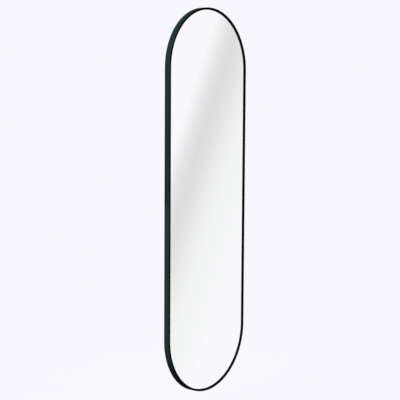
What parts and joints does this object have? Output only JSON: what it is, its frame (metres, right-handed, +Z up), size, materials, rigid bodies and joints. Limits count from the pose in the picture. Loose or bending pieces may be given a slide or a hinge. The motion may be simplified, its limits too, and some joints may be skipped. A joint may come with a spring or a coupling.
{
  "type": "wall mirror",
  "caption": "Tall capsule-shaped wall mirror in a slim black metal frame, with a backing board held by turn buttons and a hook-over wall rail.",
  "frame": {"origin": "middle of the wall rail's row of screw holes, on the wall plane", "axes": "+Z up, +Y into the wall, +X to the viewer's right; the mirror faces -Y"},
  "size_m": [0.5, 0.028, 1.6],
  "materials": {
    "frame_black": "matt black powder coat on extruded aluminium",
    "mirror": "clear silvered float glass",
    "safety_film": "matt shatter film",
    "gasket_black": "matt black foam rubber",
    "foam_white": "closed-cell foam",
    "fibreboard": "raw medium-density fibreboard",
    "zinc_steel": "bright zinc plate",
    "black_steel": "black oxide",
    "rail_aluminium": "mill-finish extrusion",
    "nylon_white": "natural nylon",
    "bumper_rubber": "soft matt rubber"
  },
  "bodies": {
    "wall_rail": {"wall_rail": "rail_aluminium"},
    "mirror": {"hanger_rail": "rail_aluminium", "hanger_rail_screws": "zinc_steel", "frame_upper": "frame_black", "frame_lower": "frame_black", "splice_bar_left": "zinc_steel", "splice_bar_right": "zinc_steel", "splice_set_screws": "black_steel", "glass_gasket": "gasket_black", "mirror_glass": "mirror", "safety_film": "safety_film", "glass_setting_blocks": "gasket_black", "foam_pads": "foam_white", "board_tape": "foam_white", "backing_board": "fibreboard", "pivot_screws": "zinc_steel", "pivot_washers": "nylon_white", "pivot_nuts": "zinc_steel", "bumper_left": "bumper_rubber", "bumper_right": "bumper_rubber"},
    "turn_button_upper_left_side": {"turn_button_upper_left_side": "zinc_steel"},
    "turn_button_upper_left_arc": {"turn_button_upper_left_arc": "zinc_steel"},
    "turn_button_lower_left_side": {"turn_button_lower_left_side": "zinc_steel"},
    "turn_button_lower_left_arc": {"turn_button_lower_left_arc": "zinc_steel"},
    "turn_button_upper_right_side": {"turn_button_upper_right_side": "zinc_steel"},
    "turn_button_upper_right_arc": {"turn_button_upper_right_arc": "zinc_steel"},
    "turn_button_lower_right_side": {"turn_button_lower_right_side": "zinc_steel"},
    "turn_button_lower_right_arc": {"turn_button_lower_right_arc": "zinc_steel"}
  },
  "joints": [
    {"name": "lift_off", "type": "slide", "parent": "wall_rail", "child": "mirror", "axis": [0, 0, 1], "range_m": [0, 0.014]},
    {"name": "upper_left_side_button_turn", "type": "hinge", "parent": "mirror", "child": "turn_button_upper_left_side", "pos_m": [-0.2435, -0.01, -0.155], "axis": [0, 1, 0], "range_deg": [-90, 90]},
    {"name": "upper_left_arc_button_turn", "type": "hinge", "parent": "mirror", "child": "turn_button_upper_left_arc", "pos_m": [-0.17218, -0.01, 0.29218], "axis": [0, 1, 0], "range_deg": [-90, 90]},
    {"name": "lower_left_side_button_turn", "type": "hinge", "parent": "mirror", "child": "turn_button_lower_left_side", "pos_m": [-0.2435, -0.01, -0.705], "axis": [0, 1, 0], "range_deg": [-90, 90]},
    {"name": "lower_left_arc_button_turn", "type": "hinge", "parent": "mirror", "child": "turn_button_lower_left_arc", "pos_m": [-0.17218, -0.01, -1.15218], "axis": [0, 1, 0], "range_deg": [-90, 90]},
    {"name": "upper_right_side_button_turn", "type": "hinge", "parent": "mirror", "child": "turn_button_upper_right_side", "pos_m": [0.2435, -0.01, -0.155], "axis": [0, 1, 0], "range_deg": [-90, 90]},
    {"name": "upper_right_arc_button_turn", "type": "hinge", "parent": "mirror", "child": "turn_button_upper_right_arc", "pos_m": [0.17218, -0.01, 0.29218], "axis": [0, 1, 0], "range_deg": [-90, 90]},
    {"name": "lower_right_side_button_turn", "type": "hinge", "parent": "mirror", "child": "turn_button_lower_right_side", "pos_m": [0.2435, -0.01, -0.705], "axis": [0, 1, 0], "range_deg": [-90, 90]},
    {"name": "lower_right_arc_button_turn", "type": "hinge", "parent": "mirror", "child": "turn_button_lower_right_arc", "pos_m": [0.17218, -0.01, -1.15218], "axis": [0, 1, 0], "range_deg": [-90, 90]}
  ]
}
